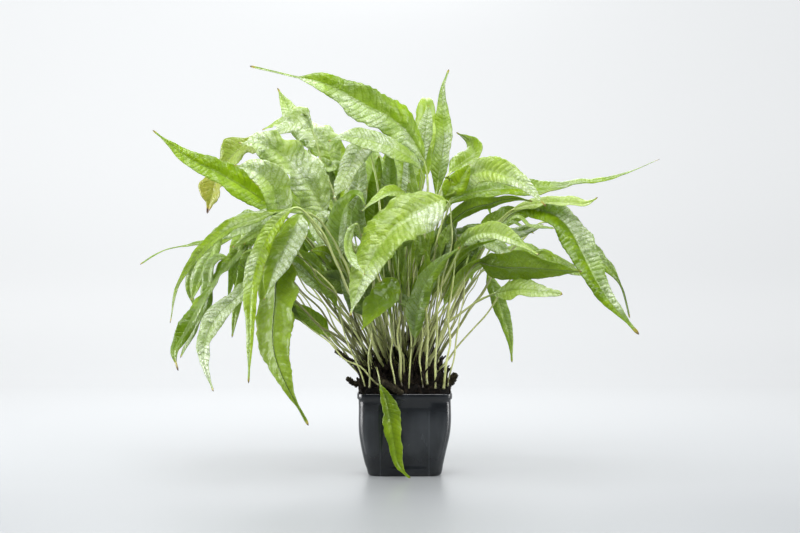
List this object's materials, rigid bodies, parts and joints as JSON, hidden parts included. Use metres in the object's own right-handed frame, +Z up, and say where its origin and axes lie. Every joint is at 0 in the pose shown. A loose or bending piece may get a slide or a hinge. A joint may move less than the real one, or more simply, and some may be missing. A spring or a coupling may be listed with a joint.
{
  "type": "potted java fern",
  "caption": "Bushy java fern with long pointed quilted fronds arching from a dark root mass in a small square black plastic pot.",
  "frame": {"origin": "middle of the pot's underside, on the surface that the pot stands on", "axes": "+Z up, -Y towards the viewer of the picture, +X to the viewer's right along the pot's front"},
  "size_m": [0.5172, 0.3185, 0.3954],
  "materials": {
    "pot_plastic": "satin",
    "roots": "matte",
    "rhizome": "matte",
    "leaf_fresh": "satin",
    "leaf_pale": "gloss",
    "leaf_deep": "satin",
    "leaf_yellow": "satin"
  },
  "bodies": {
    "root": {"pot": "pot_plastic", "root_mass": "roots", "rhizome_left_upper": "rhizome", "rhizome_left_lower": "rhizome", "rhizome_right": "rhizome", "rhizome_front": "rhizome", "frond_top_arch": "leaf_fresh", "frond_top_spire": "leaf_fresh", "frond_top_back": "leaf_pale", "frond_top_folded": "leaf_deep", "frond_right_pleated": "leaf_pale", "frond_right_long": "leaf_fresh", "frond_right_light": "leaf_yellow", "frond_right_droop": "leaf_fresh", "frond_right_behind_droop": "leaf_deep", "frond_right_dark_arch": "leaf_deep", "frond_right_paddle": "leaf_deep", "frond_right_mid_arch": "leaf_pale", "frond_right_low_olive": "leaf_deep", "frond_right_low": "leaf_fresh", "frond_right_small": "leaf_pale", "frond_right_hanging": "leaf_pale", "frond_middle_large": "leaf_pale", "frond_middle_dark": "leaf_deep", "frond_middle_rising": "leaf_fresh", "frond_middle_low": "leaf_pale", "frond_middle_curl": "leaf_pale", "frond_middle_rolled": "leaf_fresh", "frond_upright_pale": "leaf_pale", "frond_upright_left": "leaf_fresh", "frond_upright_light": "leaf_pale", "frond_upright_olive": "leaf_deep", "frond_upper_level": "leaf_pale", "frond_middle_strip": "leaf_pale", "frond_left_spear": "leaf_fresh", "frond_left_yellow": "leaf_yellow", "frond_left_crumpled": "leaf_pale", "frond_left_crest": "leaf_pale", "frond_left_peak": "leaf_fresh", "frond_left_curled": "leaf_pale", "frond_left_inner": "leaf_deep", "frond_left_arch": "leaf_deep", "frond_left_level": "leaf_pale", "frond_left_thread": "leaf_fresh", "frond_left_winding": "leaf_fresh", "frond_left_outer": "leaf_deep", "frond_left_short": "leaf_deep", "frond_left_pale_hanging": "leaf_pale", "frond_left_bright": "leaf_fresh", "frond_left_two_tone": "leaf_pale", "frond_left_large": "leaf_deep", "frond_left_low": "leaf_fresh", "frond_left_back": "leaf_deep", "frond_over_the_rim": "leaf_fresh", "frond_back_left_low": "leaf_fresh", "frond_back_left_high": "leaf_fresh", "frond_back_middle_low": "leaf_deep", "frond_back_middle_high": "leaf_fresh", "frond_back_right_low": "leaf_fresh", "frond_back_right_high": "leaf_pale"}
  },
  "joints": []
}
